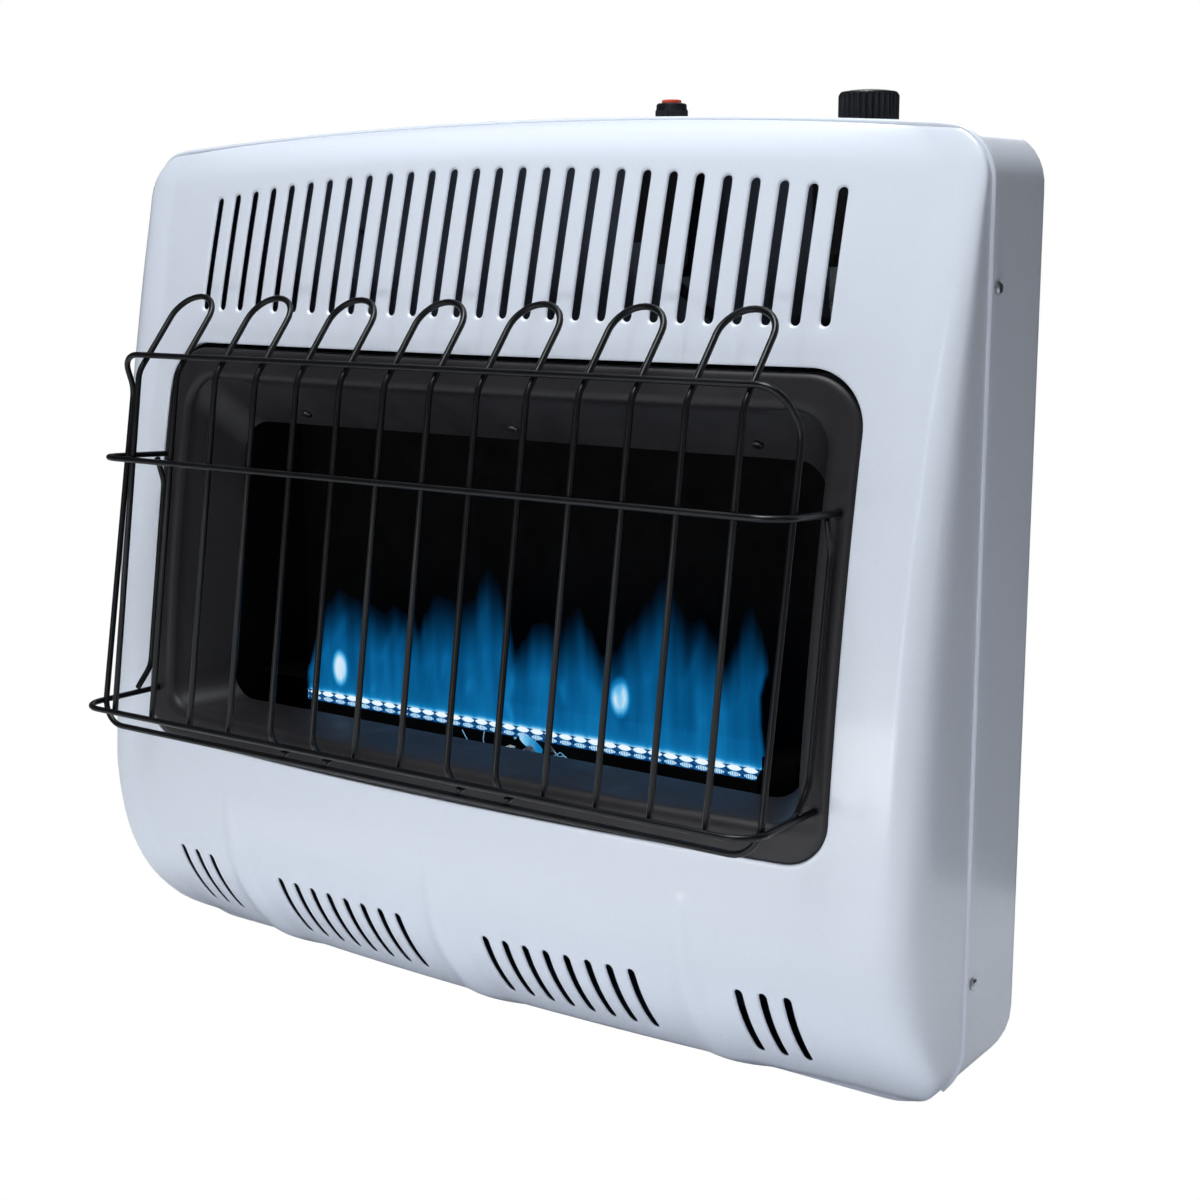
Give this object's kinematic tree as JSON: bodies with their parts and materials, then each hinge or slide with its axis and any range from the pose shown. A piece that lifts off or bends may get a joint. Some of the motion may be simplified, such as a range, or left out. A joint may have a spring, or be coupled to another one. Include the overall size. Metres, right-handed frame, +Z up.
{
  "type": "wall heater",
  "caption": "Wall-mounted vent-free propane heater: bowed white louvred cabinet, black window frame, open firebox with a blue-flame burner, wire guard, top gas knob and push igniter.",
  "frame": {"origin": "middle of the flat back face that meets the wall", "axes": "+X towards the gas knob side (right, seen from the room), +Y into the wall, +Z up"},
  "size_m": [0.691, 0.2323, 0.6284],
  "materials": {
    "white_enamel": "gloss",
    "screw_zinc": "satin",
    "black_enamel": "satin",
    "black_screw": "satin",
    "black_wire": "satin",
    "heat_darkened_steel": "matte",
    "port_steel": "satin",
    "zinc_steel": "satin",
    "brass": "satin",
    "copper": "satin",
    "ceramic": "satin",
    "cast_aluminium": "matte",
    "tube_aluminium": "satin",
    "knob_black": "satin",
    "button_red": "gloss",
    "lead_black": "satin"
  },
  "bodies": {
    "cabinet": {"front_cover": "white_enamel", "rear_case": "white_enamel", "back_panel": "white_enamel", "side_screw_upper_left": "screw_zinc", "side_screw_upper_right": "screw_zinc", "side_screw_lower_left": "screw_zinc", "side_screw_lower_right": "screw_zinc", "bezel": "black_enamel", "bezel_screw_1": "black_screw", "bezel_screw_2": "black_screw", "bezel_screw_3": "black_screw", "guard_loop": "black_wire", "guard_mid_bar": "black_wire", "guard_lower_bar": "black_wire", "guard_stile_left": "black_wire", "guard_stile_right": "black_wire", "guard_hoop_1": "black_wire", "guard_hoop_2": "black_wire", "guard_hoop_3": "black_wire", "guard_hoop_4": "black_wire", "guard_hoop_5": "black_wire", "guard_hoop_6": "black_wire", "guard_hoop_7": "black_wire", "firebox": "heat_darkened_steel", "burner": "heat_darkened_steel", "burner_bracket_left": "heat_darkened_steel", "burner_bracket_right": "heat_darkened_steel", "heat_deflector": "heat_darkened_steel", "port_strip": "port_steel", "air_shutter": "zinc_steel", "pilot_bracket": "zinc_steel", "pilot_burner": "zinc_steel", "valve_bracket": "zinc_steel", "neck_nut": "zinc_steel", "bulb_clip": "zinc_steel", "orifice_holder": "brass", "inlet_fitting": "brass", "thermocouple": "copper", "thermocouple_lead": "copper", "thermostat_bulb": "copper", "capillary": "copper", "electrode": "ceramic", "gas_valve": "cast_aluminium", "regulator": "cast_aluminium", "inlet_pipe": "tube_aluminium", "burner_pipe": "tube_aluminium", "pilot_pipe": "tube_aluminium", "igniter_body": "knob_black", "igniter_ring": "knob_black", "ignition_lead": "lead_black"},
    "pressed_valve": {"valve_plunger": "brass"},
    "turned_knob": {"valve_stem": "zinc_steel", "control_knob": "knob_black"},
    "igniter_button": {"igniter_button": "button_red"}
  },
  "joints": [
    {"name": "knob_press", "type": "slide", "parent": "cabinet", "child": "pressed_valve", "axis": [0, 0, -1], "range_m": [0, 0.004], "stiffness_N_per_m": 900, "springref_m": -0.002},
    {"name": "knob_turn", "type": "hinge", "parent": "pressed_valve", "child": "turned_knob", "pos_m": [0.2435, -0.037, 0.29625], "axis": [0, 0, 1], "range_deg": [0, 270]},
    {"name": "igniter_press", "type": "slide", "parent": "cabinet", "child": "igniter_button", "axis": [0, 0, -1], "range_m": [0, 0.005], "stiffness_N_per_m": 800, "springref_m": -0.001}
  ]
}
